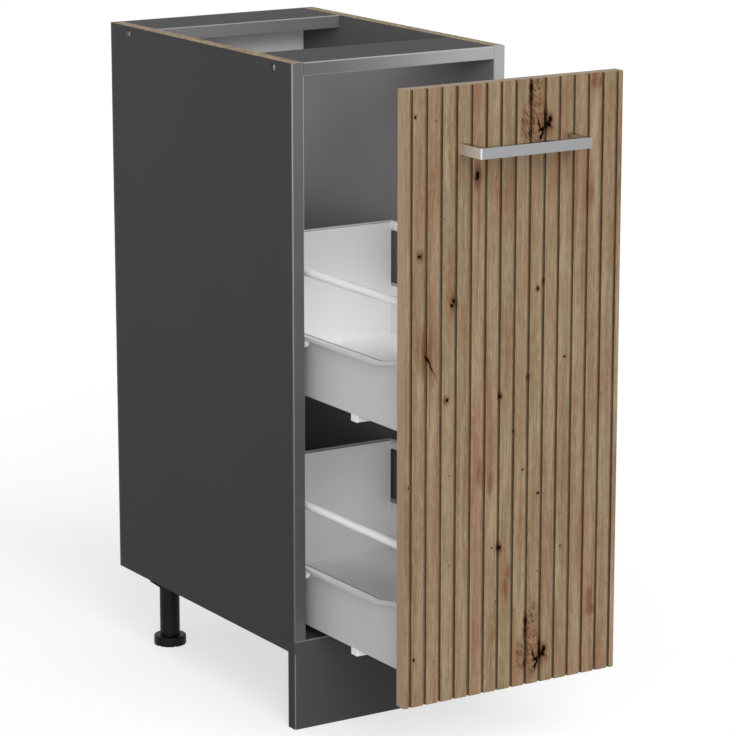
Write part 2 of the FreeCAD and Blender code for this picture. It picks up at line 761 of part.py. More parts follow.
node(pair("runner_screw_pair", group("runner_screws_right", runner_screws)), "runner_screws")
node(pair("cabinet_pin_pair", group("cabinet_pins_right", cabinet_pins)), "cabinet_roller_pins")
node(pair("drawer_pin_pair", group("drawer_pins_right", drawer_pins)), "drawer_roller_pins")


# Metal-sided drawers
def floor_screw_seats(base):
    across = f"{WALL_IN} - dims.floor_screw_inset"
    return {
        "front": (across, f"{FRONT_BACK} + dims.floor_screw_margin", base),
        "rear": (across, f"{BACK_FRONT} - dims.floor_screw_margin", base),
    }


def back_screw_seat(base):
    return (WALL_OUT, f"({BACK_FRONT} + {DRAWER_REAR}) / 2", f"{base} + dims.back_screw_height")


def drawer_side(name, base):
    """Folded sheet: wall, inward floor flange, and a rim that climbs a ramp near the front."""
    rim = f"{base} + dims.side_height"
    raised = f"{rim} + dims.ramp_rise"
    ramp_front = f"{FRONT_BACK} + dims.ramp_start"
    ramp_rear = f"{FRONT_BACK} + dims.ramp_start + dims.ramp_length"
    top_edge = [(DRAWER_REAR, rim), (ramp_rear, rim), (ramp_front, raised), (FRONT_BACK, raised)]

    def strip(depth):
        """The band of a given depth that runs along under the rim."""
        lower = [(across, f"{up} - {depth}") for across, up in top_edge]
        return top_edge + lower[::-1]

    body = new_body(name)
    wall = [(FRONT_BACK, base), (DRAWER_REAR, base)] + top_edge
    pad(body, f"{name}_wall", "YZ_Plane", wall, "dims.side_sheet", WALL_IN)
    flange = rectangle((FRONT_BACK, base), (BACK_FRONT, f"{base} + dims.side_sheet"))
    pad(body, f"{name}_flange", "YZ_Plane", flange, "dims.floor_flange + dims.side_sheet",
        f"{WALL_IN} - dims.floor_flange")
    pad(body, f"{name}_rim", "YZ_Plane", strip("dims.side_sheet"), "dims.rim_reach + dims.side_sheet",
        WALL_IN)
    pad(body, f"{name}_lip", "YZ_Plane", strip("dims.rim_lip"), "dims.side_sheet",
        f"{WALL_OUT} + dims.rim_reach - dims.side_sheet")
    holes = [screw_hole(f"{name}_{spot}_hole", "wood_screw", seat, "+Z")
             for spot, seat in floor_screw_seats(base).items()]
    holes.append(screw_hole(f"{name}_back_hole", "wood_screw", back_screw_seat(base), "-X"))
    return cut(f"{name}_drilled", body, holes)


def cup(name, start, direction):
    """A cup that holds one end of a gallery rail."""
    outer = cylinder(f"{name}_outer", start, direction, CUP_RADIUS, "dims.cup_length")
    inner = cylinder(f"{name}_inner", along(start, direction, "dims.cup_floor"), direction,
                     "dims.gallery_diameter / 2 + dims.fit", "dims.cup_length")
    return cut(name, outer, [inner])


def clip_seats(base):
    """Where the screws of a front bracket sit on it."""
    across = f"{WALL_IN} - dims.clip_reach / 2"
    low = f"{base} + dims.clip_bottom + dims.clip_screw_margin"
    high = f"{base} + dims.clip_bottom + dims.clip_height - dims.clip_screw_margin"
    inside = f"{FRONT_BACK} + dims.clip_sheet"
    return {"low": (across, inside, low), "high": (across, inside, high)}


def clip(name, base):
    """The angle that fastens a drawer side to the front."""
    low = f"{base} + dims.clip_bottom"
    high = f"{base} + dims.clip_bottom + dims.clip_height"
    plate = box(f"{name}_plate", (f"{WALL_IN} - dims.clip_reach", FRONT_BACK, low),
                (WALL_IN, f"{FRONT_BACK} + dims.clip_sheet", high))
    wing = box(f"{name}_wing", (f"{WALL_IN} - dims.clip_sheet", FRONT_BACK, low),
               (WALL_IN, f"{FRONT_BACK} + dims.clip_leg", high))
    holes = [screw_hole(f"{name}_{spot}_hole", "wood_screw", seat, "-Y")
             for spot, seat in clip_seats(base).items()]
    return cut(name, fuse(f"{name}_blank", [plate, wing]), holes)


front_cups = []
rear_cups = []
clips = []
clip_screws = []
floor_screws = []
back_screws = []
front_holes = []
for level, base in DRAWERS.items():
    floor_low = f"{base} + dims.side_sheet"
    side = drawer_side(f"{level}_side", base)
    node(side, f"{level}_drawer_side_right")
    node(mirror(f"{level}_side_twin", side), f"{level}_drawer_side_left")

    floor_holes = group(f"{level}_floor_holes", [
        screw_hole(f"{level}_floor_{spot}_hole", "wood_screw", seat, "+Z")
        for spot, seat in floor_screw_seats(base).items()])
    floor_blank = box(f"{level}_floor_blank", (f"-{WALL_IN}", FRONT_BACK, floor_low),
                      (WALL_IN, BACK_FRONT, f"{floor_low} + dims.floor_board"))
    floor_holes_left = mirror(f"{level}_floor_holes_left", floor_holes)
    node(cut(f"{level}_floor_cut", floor_blank, [floor_holes, floor_holes_left]), f"{level}_drawer_bottom")

    back_hole = screw_hole(f"{level}_back_hole", "wood_screw", back_screw_seat(base), "-X")
    rear_blank = box(f"{level}_rear_blank", (f"-{WALL_IN}", BACK_FRONT, base),
                     (WALL_IN, DRAWER_REAR, f"{base} + dims.drawer_back_height"))
    back_hole_left = mirror(f"{level}_back_hole_left", back_hole)
    node(cut(f"{level}_rear_cut", rear_blank, [back_hole, back_hole_left]), f"{level}_drawer_back")

    bar_front = f"{FRONT_BACK} + dims.cross_bar_from_front"
    bar = box(f"{level}_bar", (f"-{WALL_OUT}", bar_front, f"{base} - dims.cross_bar_height"),
              (WALL_OUT, f"{bar_front} + dims.cross_bar_width", base))
    node(bar, f"{level}_drawer_cross_bar")

    gallery = f"{base} + dims.gallery_height"
    rail_start = (GALLERY_X, f"{FRONT_BACK} + dims.cup_floor", gallery)
    rail_length = f"{BACK_FRONT} - {FRONT_BACK} - 2 * dims.cup_floor"
    rail_skin = cylinder(f"{level}_rail_skin", rail_start, "+Y", "dims.gallery_diameter / 2", rail_length)
    rail_bore = cylinder(f"{level}_rail_bore", rail_start, "+Y",
                         "dims.gallery_diameter / 2 - dims.gallery_wall", rail_length)
    rail = cut(f"{level}_rail", rail_skin, [rail_bore])
    node(rail, f"{level}_gallery_rail_right")
    node(mirror(f"{level}_rail_twin", rail), f"{level}_gallery_rail_left")

    front_cup_start = (GALLERY_X, FRONT_BACK, gallery)
    front_cup = cup(f"{level}_front_cup", front_cup_start, "+Y")
    peg = cylinder(f"{level}_front_cup_peg", front_cup_start, "-Y", "dims.cup_dowel / 2",
                   "dims.cup_dowel_length")
    front_cups.append(fuse(f"{level}_front_holder", [front_cup, peg]))
    front_holes.append(cylinder(f"{level}_peg_hole", front_cup_start, "-Y", "dims.cup_dowel / 2 + dims.fit",
                                "dims.cup_dowel_length + dims.fit"))
    rear_cup = cup(f"{level}_rear_cup", (GALLERY_X, BACK_FRONT, gallery), "-Y")
    tab = box(f"{level}_rear_cup_tab", (WALL_IN, BACK_FRONT, f"{gallery} - {CUP_RADIUS}"),
              (f"{GALLERY_X} + {CUP_RADIUS} / 2", DRAWER_REAR, f"{gallery} + dims.gallery_diameter / 2"))
    rear_cups.append(fuse(f"{level}_rear_holder", [rear_cup, tab]))

    clips.append(clip(f"{level}_clip", base))
    for spot, seat in clip_seats(base).items():
        clip_screws.append(screw(f"{level}_clip_{spot}_screw", "wood_screw", seat, "-Y"))
        front_holes.append(screw_hole(f"{level}_front_{spot}_hole", "wood_screw", seat, "-Y"))
    for spot, seat in floor_screw_seats(base).items():
        floor_screws.append(screw(f"{level}_floor_{spot}_screw", "wood_screw", seat, "+Z"))
    back_screws.append(screw(f"{level}_back_screw", "wood_screw", back_screw_seat(base), "-X"))

node(pair("front_cup_pair", group("front_cups_right", front_cups)), "gallery_front_holders")
node(pair("rear_cup_pair", group("rear_cups_right", rear_cups)), "gallery_rear_holders")
node(pair("clip_pair", group("clips_right", clips)), "front_brackets")
node(pair("clip_screw_pair", group("clip_screws_right", clip_screws)), "front_bracket_screws")
node(pair("floor_screw_pair", group("floor_screws_right", floor_screws)), "drawer_bottom_screws")
node(pair("back_screw_pair", group("back_screws_right", back_screws)), "drawer_back_screws")


# Handle: a square bow whose legs stand on the front
def handle(name):
    body = new_body(name)
    end = "dims.handle_length / 2"
    leg_inside = "(dims.handle_length / 2 - dims.handle_bar)"
    outside = f"{FRONT_FACE} - dims.handle_standoff"
    inside = f"{FRONT_FACE} - dims.handle_standoff + dims.handle_bar"
    bow = [
        (f"-{end}", outside), (end, outside), (end, FRONT_FACE), (leg_inside, FRONT_FACE),
        (leg_inside, inside), (f"-{leg_inside}", inside), (f"-{leg_inside}", FRONT_FACE),
        (f"-{end}", FRONT_FACE),
    ]
    low = f"{HANDLE_Z} - dims.handle_height / 2"
    bar = pad(body, f"{name}_bow", "XY_Plane", bow, "dims.handle_height", low)
    doc.recompute()
    front = min(vertex.Y for vertex in bar.Shape.Vertexes)
    corners = [
        f"Edge{number}" for number, edge in enumerate(bar.Shape.Edges, start=1)
        if edge.BoundBox.XLength < SAME_PLACE and edge.BoundBox.YMax < front + SAME_PLACE
    ]
    rounding = body.newObject("PartDesign::Fillet", f"{name}_corners")
    rounding.Base = (bar, corners)
    rounding.setExpression("Radius", "dims.handle_corner")
    body.Tip = rounding
    return body


handle_seat = (HANDLE_X, FRONT_BACK, HANDLE_Z)
handle_hole = screw_hole("handle_hole", "handle_screw", handle_seat, "-Y")
handle_hole_left = mirror("handle_hole_left", handle_hole)
node(cut("handle_drilled", handle("handle_body"), [handle_hole, handle_hole_left]), "handle")
handle_screw = screw("handle_screw_right", "handle_screw", handle_seat, "-Y")
node(pair("handle_screw_pair", handle_screw), "handle_screws")
front_holes.append(handle_hole)


# Front: a board with upright grooves milled into its face
def front_board(name):
    body = new_body(name)
    tall = f"{FRONT_HIGH} - {FRONT_LOW}"
    plan = rectangle((f"-{FRONT_HALF}", FRONT_FACE), (FRONT_HALF, FRONT_BACK))
    pad(body, f"{name}_blank", "XY_Plane", plan, tall, FRONT_LOW)
    doc.recompute()
    plain_volume = body.Shape.Volume
    first = f"-{FRONT_HALF} + dims.groove_margin"
    mill = outline(body, f"{name}_groove_sketch", "XY_Plane", rectangle(
        (f"{first} - dims.groove_width / 2", FRONT_FACE),
        (f"{first} + dims.groove_width / 2", f"{FRONT_FACE} + dims.groove_depth")), FRONT_LOW)
    groove = body.newObject("PartDesign::Pocket", f"{name}_groove")
    groove.Profile = mill
    groove.Reversed = True
    groove.setExpression("Length", tall)
    doc.recompute()
    if body.Shape.Volume >= plain_volume:
        raise RuntimeError("the front's groove cuts nothing")
    row = body.newObject("PartDesign::LinearPattern", f"{name}_grooves")
    row.Originals = [groove]
    row.Direction = (origin_feature(body, "X_Axis"), [""])
    row.setExpression("Length", f"2 * ({FRONT_HALF} - dims.groove_margin)")
    row.setExpression("Occurrences", "dims.groove_count")
    body.Tip = row
    return body


front_tools = group("front_holes_right", front_holes)
front_tools_left = mirror("front_holes_left", front_tools)
front = cut("front_drilled", front_board("front_body"), [front_tools, front_tools_left])
node(front, "front_panel")

BUMPER_X = f"{INNER} + dims.board / 2"
bumpers = [
    cylinder("bumper_high", (BUMPER_X, FRONT_BACK, f"{FRONT_HIGH} - dims.bumper_margin"), "+Y",
             "dims.bumper_diameter / 2", "dims.bumper_height"),
    cylinder("bumper_low", (BUMPER_X, FRONT_BACK, f"{FRONT_LOW} + dims.bumper_margin"), "+Y",
             "dims.bumper_diameter / 2", "dims.bumper_height"),
]
node(pair("bumper_pair", group("bumpers_right", bumpers)), "front_bumpers")

# Every object is sound before anything is written
doc.recompute()
for item in doc.Objects:
    faults = [state for state in item.State if state in ("Invalid", "Error")]
    if faults:
        raise RuntimeError(f"{item.Name}: {', '.join(faults)}")
for piece in nodes:
    if piece.Shape.isNull() or not piece.Shape.isValid() or not piece.Shape.Solids:
        raise RuntimeError(f"{piece.Label}: no sound solid")

os.makedirs("parts", exist_ok=True)
for piece in nodes:
    piece.Shape.exportStep(os.path.join("parts", f"{piece.Label}.step"))
    print(piece.Label, len(piece.Shape.Solids), round(piece.Shape.Volume, 1))
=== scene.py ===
import math

import bpy
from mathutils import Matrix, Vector


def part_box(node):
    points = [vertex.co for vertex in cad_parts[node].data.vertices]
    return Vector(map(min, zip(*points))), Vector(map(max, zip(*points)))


# Looks of the pull-out cabinet: camera, stage, light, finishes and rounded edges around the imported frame.
# The scene is in metres. The finishes work in millimetres, so their lengths read as real sizes.

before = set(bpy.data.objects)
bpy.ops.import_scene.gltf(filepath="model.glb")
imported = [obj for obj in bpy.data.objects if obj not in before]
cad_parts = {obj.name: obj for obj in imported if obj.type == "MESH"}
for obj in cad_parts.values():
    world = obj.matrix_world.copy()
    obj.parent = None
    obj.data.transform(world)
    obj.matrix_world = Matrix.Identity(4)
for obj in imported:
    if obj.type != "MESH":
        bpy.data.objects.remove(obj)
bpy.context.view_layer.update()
SCENE = bpy.context.scene
MM = 0.001

# Camera without a shift, as fitted to the photograph: its place in metres and its angles in radians
IMAGE_PIXELS = 736
FOCAL_PIXELS = 3323.6
SENSOR = 36.0
CAMERA_PLACE = (-2.1144, -3.2998, 1.3518)
CAMERA_YAW = 0.560
CAMERA_PITCH = 0.230

# Stage and light
FLOOR_SIZE = 60.0
FLOOR_WHITE = 0.42
FLOOR_BOUNCE = 0.5
FLOOR_LIFT = 0.64
SKY_LIGHT = 0.38
SKY_SHOWN = 1.0
SUNS = {
    "key": {"towards": (-0.05, -0.80, 0.60), "strength": 2.3, "angle": 45.0},
    "fill": {"towards": (-0.52, -0.82, 0.25), "strength": 1.1, "angle": 30.0},
}


def colour(red, green, blue):
    """A display colour from 0 to 255 as the linear colour that a shader takes, by the sRGB curve."""
    linear = []
    for part in (red, green, blue):
        share = part / 255
        linear.append(share / 12.92 if share <= 0.04045 else ((share + 0.055) / 1.055) ** 2.4)
    return (*linear, 1.0)


def grey(level):
    """A display grey from 0 to 255."""
    return colour(level, level, level)


X, Y, Z = range(3)
# Where the middle of a noise's range starts and ends, and nearly the whole of it
NOISE_MIDDLE = (0.3, 0.7)
NOISE_RANGE = (0.25, 0.75)
# Part of the normal along an axis where a face starts to count as looking that way, and counts fully
FACING = (0.6, 0.9)
# Sockets of a Mix node for colours: the share, the two colours and the result
MIX_SHARE, MIX_ONE, MIX_TWO, MIX_RESULT = 0, 6, 7, 2


class Graph:
    """The node tree of one finish. A method that adds a node returns the socket that it makes."""

    def __init__(self, name):
        self.material = bpy.data.materials.new(name)
        self.material.use_nodes = True
        self.tree = self.material.node_tree
        self.shader = self.tree.nodes["Principled BSDF"]
        coordinates = self.tree.nodes.new("ShaderNodeTexCoord")
        self.point = self.vector("DIVIDE", coordinates.outputs["Object"], (MM, MM, MM))
        self.x, self.y, self.z = self.split(self.point)
        self.normal = self.split(coordinates.outputs["Normal"])

    def put(self, socket, value):
        """Links a socket, or sets it where the value is constant."""
        if isinstance(value, bpy.types.NodeSocket):
            self.tree.links.new(value, socket)
        else:
            socket.default_value = value

    def fill(self, node, values):
        for socket, value in zip(node.inputs, values):
            self.put(socket, value)

    def math(self, operation, *values):
        node = self.tree.nodes.new("ShaderNodeMath")
        node.operation = operation
        self.fill(node, values)
        return node.outputs[0]

    def vector(self, operation, *values):
        node = self.tree.nodes.new("ShaderNodeVectorMath")
        node.operation = operation
        self.fill(node, values)
        return node.outputs["Value" if operation == "LENGTH" else "Vector"]

    def split(self, vector):
        node = self.tree.nodes.new("ShaderNodeSeparateXYZ")
        self.put(node.inputs[0], vector)
        return node.outputs

    def combine(self, x, y, z):
        node = self.tree.nodes.new("ShaderNodeCombineXYZ")
        self.fill(node, (x, y, z))
        return node.outputs[0]

    def noise(self, size, detail=2.0, roughness=0.5, point=None):
        """Noise whose lumps are about this long in millimetres along X, Y and Z."""
        node = self.tree.nodes.new("ShaderNodeTexNoise")
        self.put(node.inputs["Vector"], self.vector("DIVIDE", point or self.point, size))
        self.put(node.inputs["Scale"], 1.0)
        self.put(node.inputs["Detail"], detail)
        self.put(node.inputs["Roughness"], roughness)
        return node.outputs["Fac"]

    def cells(self, size):
        """A random value for each cell of about this size in millimetres."""
        node = self.tree.nodes.new("ShaderNodeTexVoronoi")
        self.put(node.inputs["Vector"], self.vector("DIVIDE", self.point, size))
        self.put(node.inputs["Scale"], 1.0)
        return self.split(node.outputs["Color"])[0]

    def random(self, value):
        node = self.tree.nodes.new("ShaderNodeTexWhiteNoise")
        node.noise_dimensions = "1D"
        self.put(node.inputs["W"], value)
        return node.outputs["Value"]

    def ramp(self, value, start, end, low=0.0, high=1.0):
        """A smooth step from low at start to high at end."""
        node = self.tree.nodes.new("ShaderNodeMapRange")
        node.interpolation_type = "SMOOTHSTEP"
        self.fill(node, (value, start, end, low, high))
        return node.outputs[0]

    def spread(self, noise, low=0.0, high=1.0):
        """Spreads the middle of a noise's range over the values from low to high."""
        return self.ramp(noise, *NOISE_MIDDLE, low, high)

    def rough(self, noise, low, high):
        """A roughness from low to high over nearly the whole range of a noise."""
        return self.ramp(noise, *NOISE_RANGE, low, high)

    def facing(self, axis, side=1):
        """The share of a face that looks along an axis, or against it where the side is -1."""
        return self.ramp(self.normal[axis], *(limit * side for limit in FACING))

    def facing_middle(self, half_width):
        """The share of a face this far from the middle plane that looks towards that plane."""
        inwards = self.math("MULTIPLY", self.math("MULTIPLY", self.x, self.normal[X]), -1.0)
        return self.ramp(inwards, *(limit * half_width for limit in FACING))

    def mix(self, share, one, two):
        """Goes from one colour to another as the share goes from 0 to 1."""
        node = self.tree.nodes.new("ShaderNodeMix")
        node.data_type = "RGBA"
        self.put(node.inputs[MIX_SHARE], share)
        self.put(node.inputs[MIX_ONE], one)
        self.put(node.inputs[MIX_TWO], two)
        return node.outputs[MIX_RESULT]

    def bump(self, height, distance):
        """Raises the surface by up to a distance in millimetres."""
        node = self.tree.nodes.new("ShaderNodeBump")
        self.put(node.inputs["Height"], height)
        self.put(node.inputs["Distance"], distance * MM)
        return node.outputs["Normal"]

    def finish(self, base, **inputs):
        """Sets the shader's base colour and its other sockets by name."""
        self.put(self.shader.inputs["Base Color"], base)
        for name, value in inputs.items():
            self.put(self.shader.inputs[name], value)
        return self.material


# Boards, with the frame's own places in millimetres
CARCASS_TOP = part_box("side_panel_left")[1].z / MM
CARCASS_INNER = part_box("side_panel_right")[0].x / MM
BOTTOM_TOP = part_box("bottom_panel")[1].z / MM
DRAWER_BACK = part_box("upper_drawer_back")[0].y / MM
LOWER_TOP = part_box("lower_drawer_back")[1].z / MM
UPPER_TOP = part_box("upper_drawer_back")[1].z / MM
UPPER_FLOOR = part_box("upper_drawer_bottom")[1].z / MM
LOWER_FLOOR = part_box("lower_drawer_bottom")[1].z / MM
CARCASS_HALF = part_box("side_panel_right")[1].x / MM
REAR_RAIL_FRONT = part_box("top_rail_rear")[0].y / MM
# Depth of the raw top edges, width of the painted highlights along arrises, and how strong the plinth's
# painted arris highlight is
TOP_EDGE_DEPTH = 0.5
ARRIS = 1.2
PLINTH_ARRIS_SHARE = 0.5
# Largest part of the normal where a band's rounded edge starts, and where it counts fully
BAND_ROUNDING = (0.985, 0.93)
# How metallic the painted reflection makes the bands at the right
BAND_REFLECTION_METALLIC = 0.8
# Heights between which the pale inside of the back sheet goes over to a darker lower tone, which is painted
# shade
BACK_PAINTED_SHADE = (775.0, 725.0)
# How far behind its front the dark line on top of a drawer's back ends, and where it is full
CUT_LINE = (5.0, 3.0)
# Where the painted light on the inner faces is least and where it is full, with its share at both: a
# lighter tone that stands in for the light inside, less under the top, towards the front and lower down.
# The upper limit drops towards the back by the slope
INSIDE_TOP = (826.0, 806.0, 0.22, 1.0)
INSIDE_TOP_SLOPE = 0.16
INSIDE_FRONT = (40.0, 300.0, 0.5, 1.0)
INSIDE_LOW = (510.0, 600.0, 0.55, 1.0)


def chipboard(graph):
    """The raw edge of a pressed board, as flakes of pale and brown wood."""
    flakes = graph.cells((3.0, 3.0, 1.0))
    wood = graph.mix(flakes, colour(114, 98, 77), colour(178, 160, 133))
    specks = graph.ramp(graph.noise((1.4, 1.4, 1.4), detail=3.0), 0.56, 0.68)
    return graph.mix(specks, wood, colour(84, 64, 48))


def melamine():
    """Anthracite boards with a raw edge on top of the sides, and painted light and shade: darker towards
    the bottom outside, lighter on the inner faces and the rear rail's front, a lighter plinth front, and
    painted highlights along some arrises.
    """
    graph = Graph("melamine_anthracite_finish")
    pearl = graph.noise((0.5, 0.5, 0.5), detail=3.0, roughness=0.6)
    cloud = graph.noise((90.0, 90.0, 140.0), detail=2.0)
    outside = graph.mix(graph.spread(pearl), grey(67), grey(75))
    outside = graph.mix(graph.ramp(cloud, 0.35, 0.65, 0.0, 0.5), outside, grey(73))
    # Painted shade: the outer faces darken towards the bottom
    outside = graph.mix(graph.ramp(graph.z, CARCASS_TOP, BOTTOM_TOP, 0.0, 0.4), outside, grey(46))
    upwards = graph.facing(Z)
    outside = graph.mix(upwards, outside, grey(70))
    # Painted light: a lighter tone on the inner faces, less under the top, towards the front and lower down
    inside = graph.mix(graph.spread(pearl), colour(156, 153, 155), colour(166, 163, 165))
    inner_face = graph.facing_middle(CARCASS_INNER)
    sloped = graph.math("ADD", graph.z, graph.math("MULTIPLY", graph.y, INSIDE_TOP_SLOPE))
    tone = graph.math("MINIMUM", graph.ramp(sloped, *INSIDE_TOP), graph.ramp(graph.y, *INSIDE_FRONT))
    tone = graph.math("MINIMUM", tone, graph.ramp(graph.z, *INSIDE_LOW))
    forwards = graph.facing(Y, -1)
    # Painted light on the rear rail's front face, more at the left than at the right
    rear_face = graph.math("MULTIPLY", forwards, graph.math("GREATER_THAN", graph.y, DRAWER_BACK))
    lighter = graph.math("MULTIPLY", inner_face, tone)
    rear_painted_light = graph.ramp(graph.x, -CARCASS_INNER, CARCASS_INNER, 0.32, 0.16)
    lighter = graph.math("MAXIMUM", lighter, graph.math("MULTIPLY", rear_face, rear_painted_light))
    face = graph.mix(lighter, outside, inside)
    # Painted light: the plinth's front faces take a lighter tone than the painted shade at that height
    plinth_painted_light = graph.math("MULTIPLY", forwards, graph.math("LESS_THAN", graph.z, BOTTOM_TOP))
    face = graph.mix(plinth_painted_light, face, grey(74))
    # Painted highlight along the plinth's arrises near the front corners
    beside = graph.math("SUBTRACT", CARCASS_HALF, graph.math("ABSOLUTE", graph.x))
    plinth_arris_highlight = graph.math("LESS_THAN", graph.math("ADD", graph.y, beside), ARRIS)
    plinth_arris_highlight = graph.math("MULTIPLY", plinth_arris_highlight, graph.math("LESS_THAN", graph.z, BOTTOM_TOP))
    face = graph.mix(graph.math("MULTIPLY", plinth_arris_highlight, PLINTH_ARRIS_SHARE), face, grey(150))
    # Painted highlight along the top edge of the rear rail's front face
    from_rail = graph.math("ABSOLUTE", graph.math("SUBTRACT", graph.y, REAR_RAIL_FRONT))
    rail_edge_highlight = graph.math("LESS_THAN", from_rail, ARRIS)
    rail_edge_highlight = graph.math("MULTIPLY", rail_edge_highlight, graph.math("GREATER_THAN", graph.z, CARCASS_TOP - ARRIS))
    face = graph.mix(rail_edge_highlight, face, grey(146))
    on_top = graph.ramp(graph.z, CARCASS_TOP - TOP_EDGE_DEPTH, CARCASS_TOP - TOP_EDGE_DEPTH / 2)
    on_side = graph.math("GREATER_THAN", graph.math("ABSOLUTE", graph.x), CARCASS_INNER)
    raw = graph.math("MULTIPLY", on_top, on_side)
    return graph.finish(
        graph.mix(raw, face, chipboard(graph)),
        Roughness=graph.rough(pearl, 0.44, 0.56),
        Normal=graph.bump(pearl, 0.03),
        **{"Specular IOR Level": graph.ramp(upwards, 0.0, 1.0, 0.04, 0.01)},
    )


def edge_band():
    """Plastic bands with painted light: darker towards the bottom, painted highlights on their rounded
    edges, and a painted reflection that makes them bright like metal towards the right.
    """
    graph = Graph("edge_anthracite_finish")
    grain = graph.noise((0.4, 0.4, 0.4), detail=2.0)
    painted_reflection = graph.mix(graph.spread(grain), grey(160), grey(168))
    # Painted shade: the sides' bands darken towards the bottom, and the bottom board's band is dark
    # throughout
    upper = graph.mix(graph.ramp(graph.z, BOTTOM_TOP, CARCASS_TOP), grey(71), grey(91))
    on_side = graph.math("GREATER_THAN", graph.z, BOTTOM_TOP)
    plain = graph.mix(on_side, grey(72), upper)
    underneath = graph.ramp(graph.normal[Z], -0.1, -0.6)
    plain = graph.mix(underneath, plain, grey(110))
    steep = [graph.math("ABSOLUTE", part) for part in graph.normal]
    main = graph.math("MAXIMUM", graph.math("MAXIMUM", steep[0], steep[1]), steep[2])
    # Painted highlights on the bands' rounded edges, faint low down, stronger higher up and on upward
    # tilted edges
    arris = graph.ramp(main, *BAND_ROUNDING)
    arris_highlight = graph.ramp(graph.z, BOTTOM_TOP, CARCASS_TOP, 0.06, 0.5)
    bottom_arris_highlight = graph.math("MULTIPLY", graph.ramp(graph.normal[Z], 0.2, 0.5), 0.45)
    arris_highlight = graph.math("MAXIMUM", arris_highlight, bottom_arris_highlight)
    plain = graph.mix(graph.math("MULTIPLY", arris, arris_highlight), plain, grey(176))
    # Painted reflection: towards the right the bands on the sides turn bright and metallic
    shine = graph.math("MULTIPLY", graph.ramp(graph.x, -CARCASS_INNER, CARCASS_INNER), on_side)
    return graph.finish(
        graph.mix(shine, plain, painted_reflection),
        Metallic=graph.math("MULTIPLY", shine, BAND_REFLECTION_METALLIC),
        Roughness=graph.spread(grain, 0.28, 0.36),
        Normal=graph.bump(grain, 0.012),
        **{"Specular IOR Level": graph.ramp(on_side, 0.0, 1.0, 0.04, 0.5)},
    )


def white_board():
    """White boards of the drawers, with a cut edge on top of the backs, painted shade by height, and upward
    faces painted fully white.
    """
    graph = Graph("white_board_finish")
    pearl = graph.noise((0.6, 0.6, 0.6), detail=3.0)
    # Painted shade: the lower drawer's board darkens towards its floor and the upper one's towards its top
    lower = graph.mix(graph.ramp(graph.z, LOWER_FLOOR, LOWER_TOP), grey(240), grey(254))
    upper = graph.mix(graph.ramp(graph.z, UPPER_FLOOR, UPPER_TOP), grey(248), grey(217))
    face = graph.mix(graph.ramp(graph.z, LOWER_TOP, UPPER_FLOOR), lower, upper)
    face = graph.mix(graph.spread(pearl, 0.0, 0.2), face, grey(226))
    # Painted light: upward faces are fully white
    upwards = graph.ramp(graph.normal[Z], 0.7, 0.95)
    face = graph.mix(upwards, face, grey(255))
    cut = graph.mix(graph.spread(graph.noise((1.2, 1.2, 1.2), detail=3.0)), grey(236), grey(248))
    front_line = graph.ramp(graph.y, *(DRAWER_BACK + depth for depth in CUT_LINE))
    cut = graph.mix(front_line, cut, grey(142))
    on_back = graph.math("GREATER_THAN", graph.y, DRAWER_BACK)
    top_edge = graph.math("MULTIPLY", upwards, on_back)
    return graph.finish(
        graph.mix(top_edge, face, cut),
        Roughness=graph.rough(pearl, 0.38, 0.5),
        Normal=graph.bump(pearl, 0.02),
    )


def back_sheet():
    """Thin fibreboard, painted pale inside with painted shade lower down, dark grey on its edges, and raw
    brown outside.
    """
    graph = Graph("back_grey_finish")
    fibre = graph.noise((0.9, 0.9, 0.9), detail=4.0, roughness=0.6)
    paint = graph.mix(graph.spread(fibre), grey(246), grey(252))
    # Painted shade: the inner face is darker lower down
    paint = graph.mix(graph.ramp(graph.z, *BACK_PAINTED_SHADE), paint, grey(216))
    edge = graph.mix(graph.spread(fibre), grey(50), grey(58))
    raw = graph.mix(graph.spread(fibre), colour(112, 84, 58), colour(150, 118, 86))
    outside = graph.mix(graph.ramp(graph.normal[Y], 0.4, 0.8), edge, raw)
    return graph.finish(
        graph.mix(graph.ramp(graph.normal[Y], -0.4, -0.8), outside, paint),
        Roughness=graph.rough(fibre, 0.5, 0.68),
        Normal=graph.bump(fibre, 0.04),
    )


# Oak front
FRONT_LOW, FRONT_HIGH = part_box("front_panel")
FRONT_HALF = FRONT_HIGH.x / MM
FRONT_TOP = FRONT_HIGH.z / MM
FRONT_FACE = FRONT_LOW.y / MM
GROOVE_COUNT = 15
GROOVE_MARGIN = 8.0
SLAT_PITCH = 2 * (FRONT_HALF - GROOVE_MARGIN) / (GROOVE_COUNT - 1)
# Depth behind the face that holds the grooves, and the rim along the front's edges that has none
GROOVE_REACH = 4.0
FRONT_RIM = 1.0
# Depths where the painted shade in a groove starts and is darkest, and its strength there
GROOVE_DARK = (0.1, 1.6)
GROOVE_PAINTED_SHADE = 0.55
# Shares of the top's height between which the pale edges darken
EDGE_FADE = (0.75, 0.35)
# How far the grain wanders sideways, and how much longer ragged lumps are along it
GRAIN_SWAY = 14.0
LUMP_STRETCH = 1.4
# The printed grain repeats: below this height it is the top's grain again, one length lower
REPEAT = 629.7
REPEAT_BELOW = 300.0
